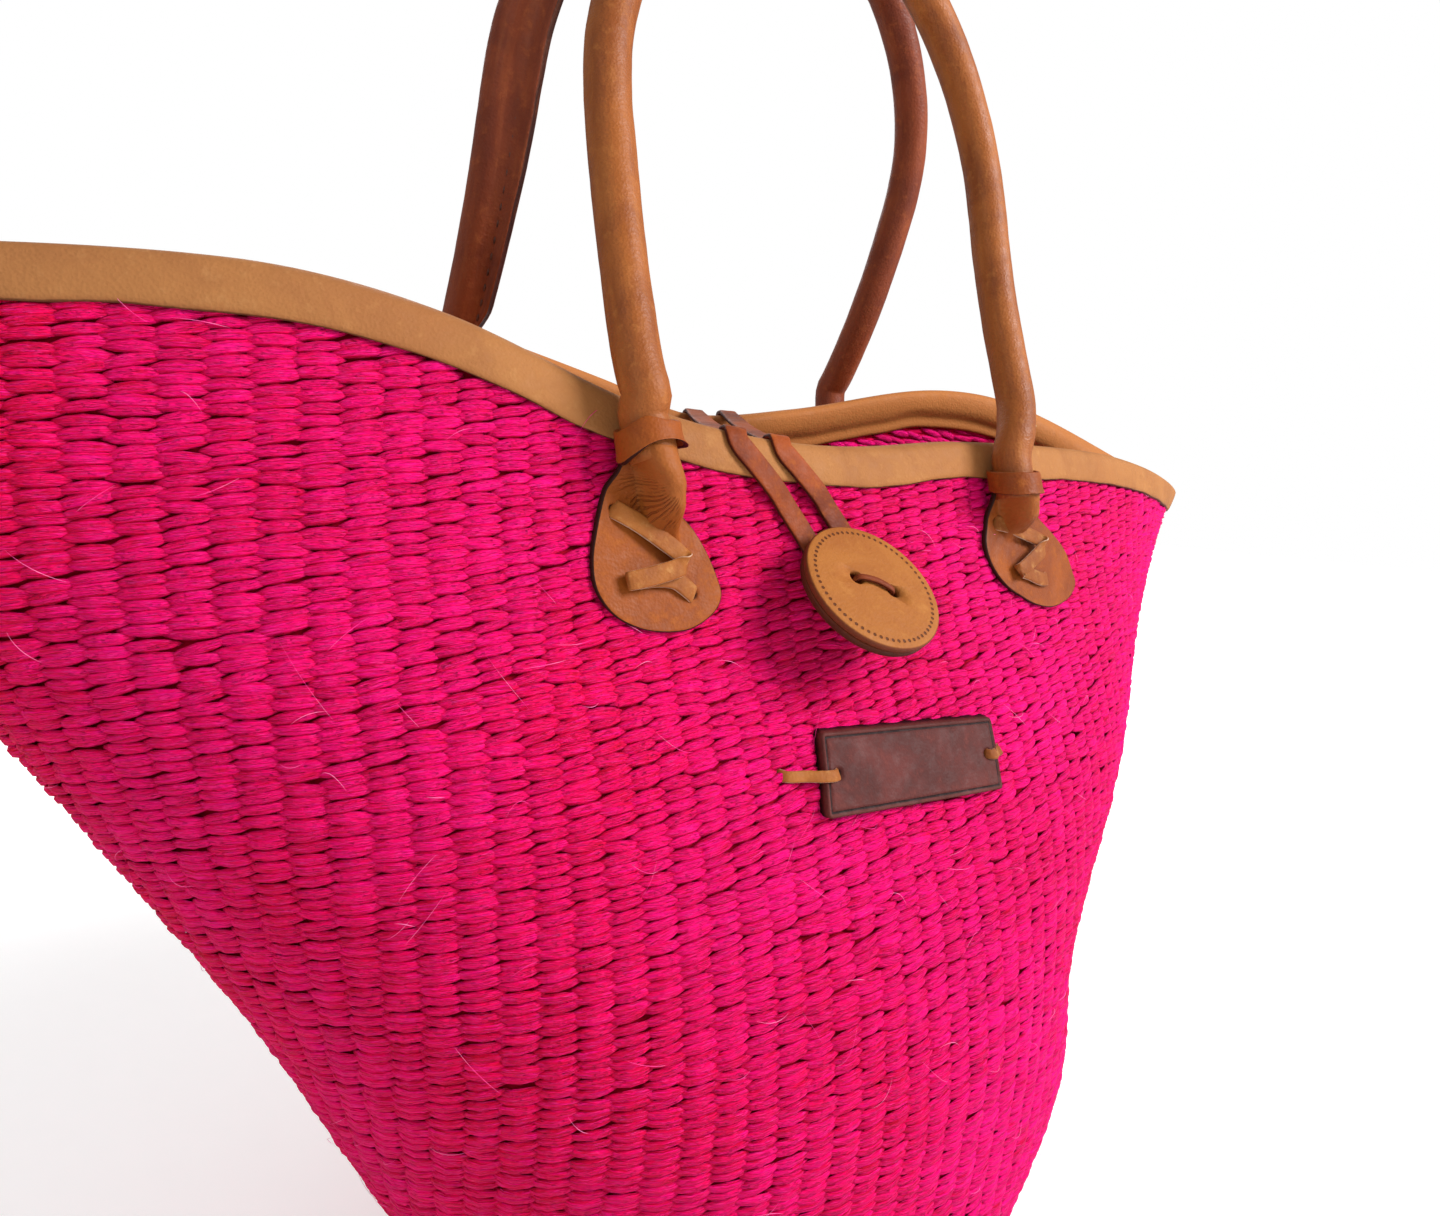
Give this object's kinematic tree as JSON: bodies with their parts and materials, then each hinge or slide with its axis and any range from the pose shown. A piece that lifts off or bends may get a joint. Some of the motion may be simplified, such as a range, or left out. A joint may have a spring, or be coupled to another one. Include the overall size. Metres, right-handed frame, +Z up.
{
  "type": "kiondo basket",
  "caption": "Round-bottomed woven sisal tote with a leather-bound rim, two rolled leather handles, a leather loop-and-button closure and a blank label.",
  "frame": {"origin": "middle of the basket's outline at the base's flat underside", "axes": "+X along the mouth towards the right-hand end seen from the front, -Y towards the front with the button and label, +Z up"},
  "size_m": [0.5377, 0.221, 0.4837],
  "materials": {
    "weave": "bright pink twined sisal, matte",
    "rim_leather": "light tan leather, satin",
    "handle_leather": "mid brown rolled leather, satin",
    "tab_leather": "mid brown leather, satin",
    "strap_leather": "red-brown leather strap, satin",
    "button_leather": "tan leather disc, satin",
    "label_leather": "dark brown leather, satin",
    "thong_leather": "tan leather lace, raw edges",
    "rope": "pale sisal rope"
  },
  "bodies": {
    "basket": {"woven_body": "weave", "rim_binding": "rim_leather", "front_left_tab": "tab_leather", "front_left_keeper": "tab_leather", "front_left_thong": "thong_leather", "front_right_tab": "tab_leather", "front_right_keeper": "tab_leather", "front_right_thong": "thong_leather", "rear_left_tab": "tab_leather", "rear_left_keeper": "tab_leather", "rear_left_thong": "thong_leather", "rear_right_tab": "tab_leather", "rear_right_keeper": "tab_leather", "rear_right_thong": "thong_leather", "closure_loop": "strap_leather", "button_thong": "thong_leather", "label_tag": "label_leather", "label_thong": "thong_leather"},
    "front_handle": {"front_grip_cover": "handle_leather", "front_grip_core": "rope"},
    "rear_handle": {"rear_grip_cover": "handle_leather", "rear_grip_core": "rope"},
    "button": {"button_face": "button_leather", "button_back": "button_leather"}
  },
  "joints": [
    {"name": "front_handle_swing", "type": "hinge", "parent": "basket", "child": "front_handle", "pos_m": [-0.0069, -0.06655, 0.29226], "axis": [1, 0, 0], "range_deg": [0, 150]},
    {"name": "rear_handle_swing", "type": "hinge", "parent": "basket", "child": "rear_handle", "pos_m": [-0.0015, 0.06546, 0.3151], "axis": [1, 0, 0], "range_deg": [-150, 0]},
    {"name": "button_tilt", "type": "hinge", "parent": "basket", "child": "button", "pos_m": [-0.01213, -0.07586, 0.24236], "axis": [0.8896, -0.2825, -0.359], "range_deg": [-4, 4]}
  ]
}
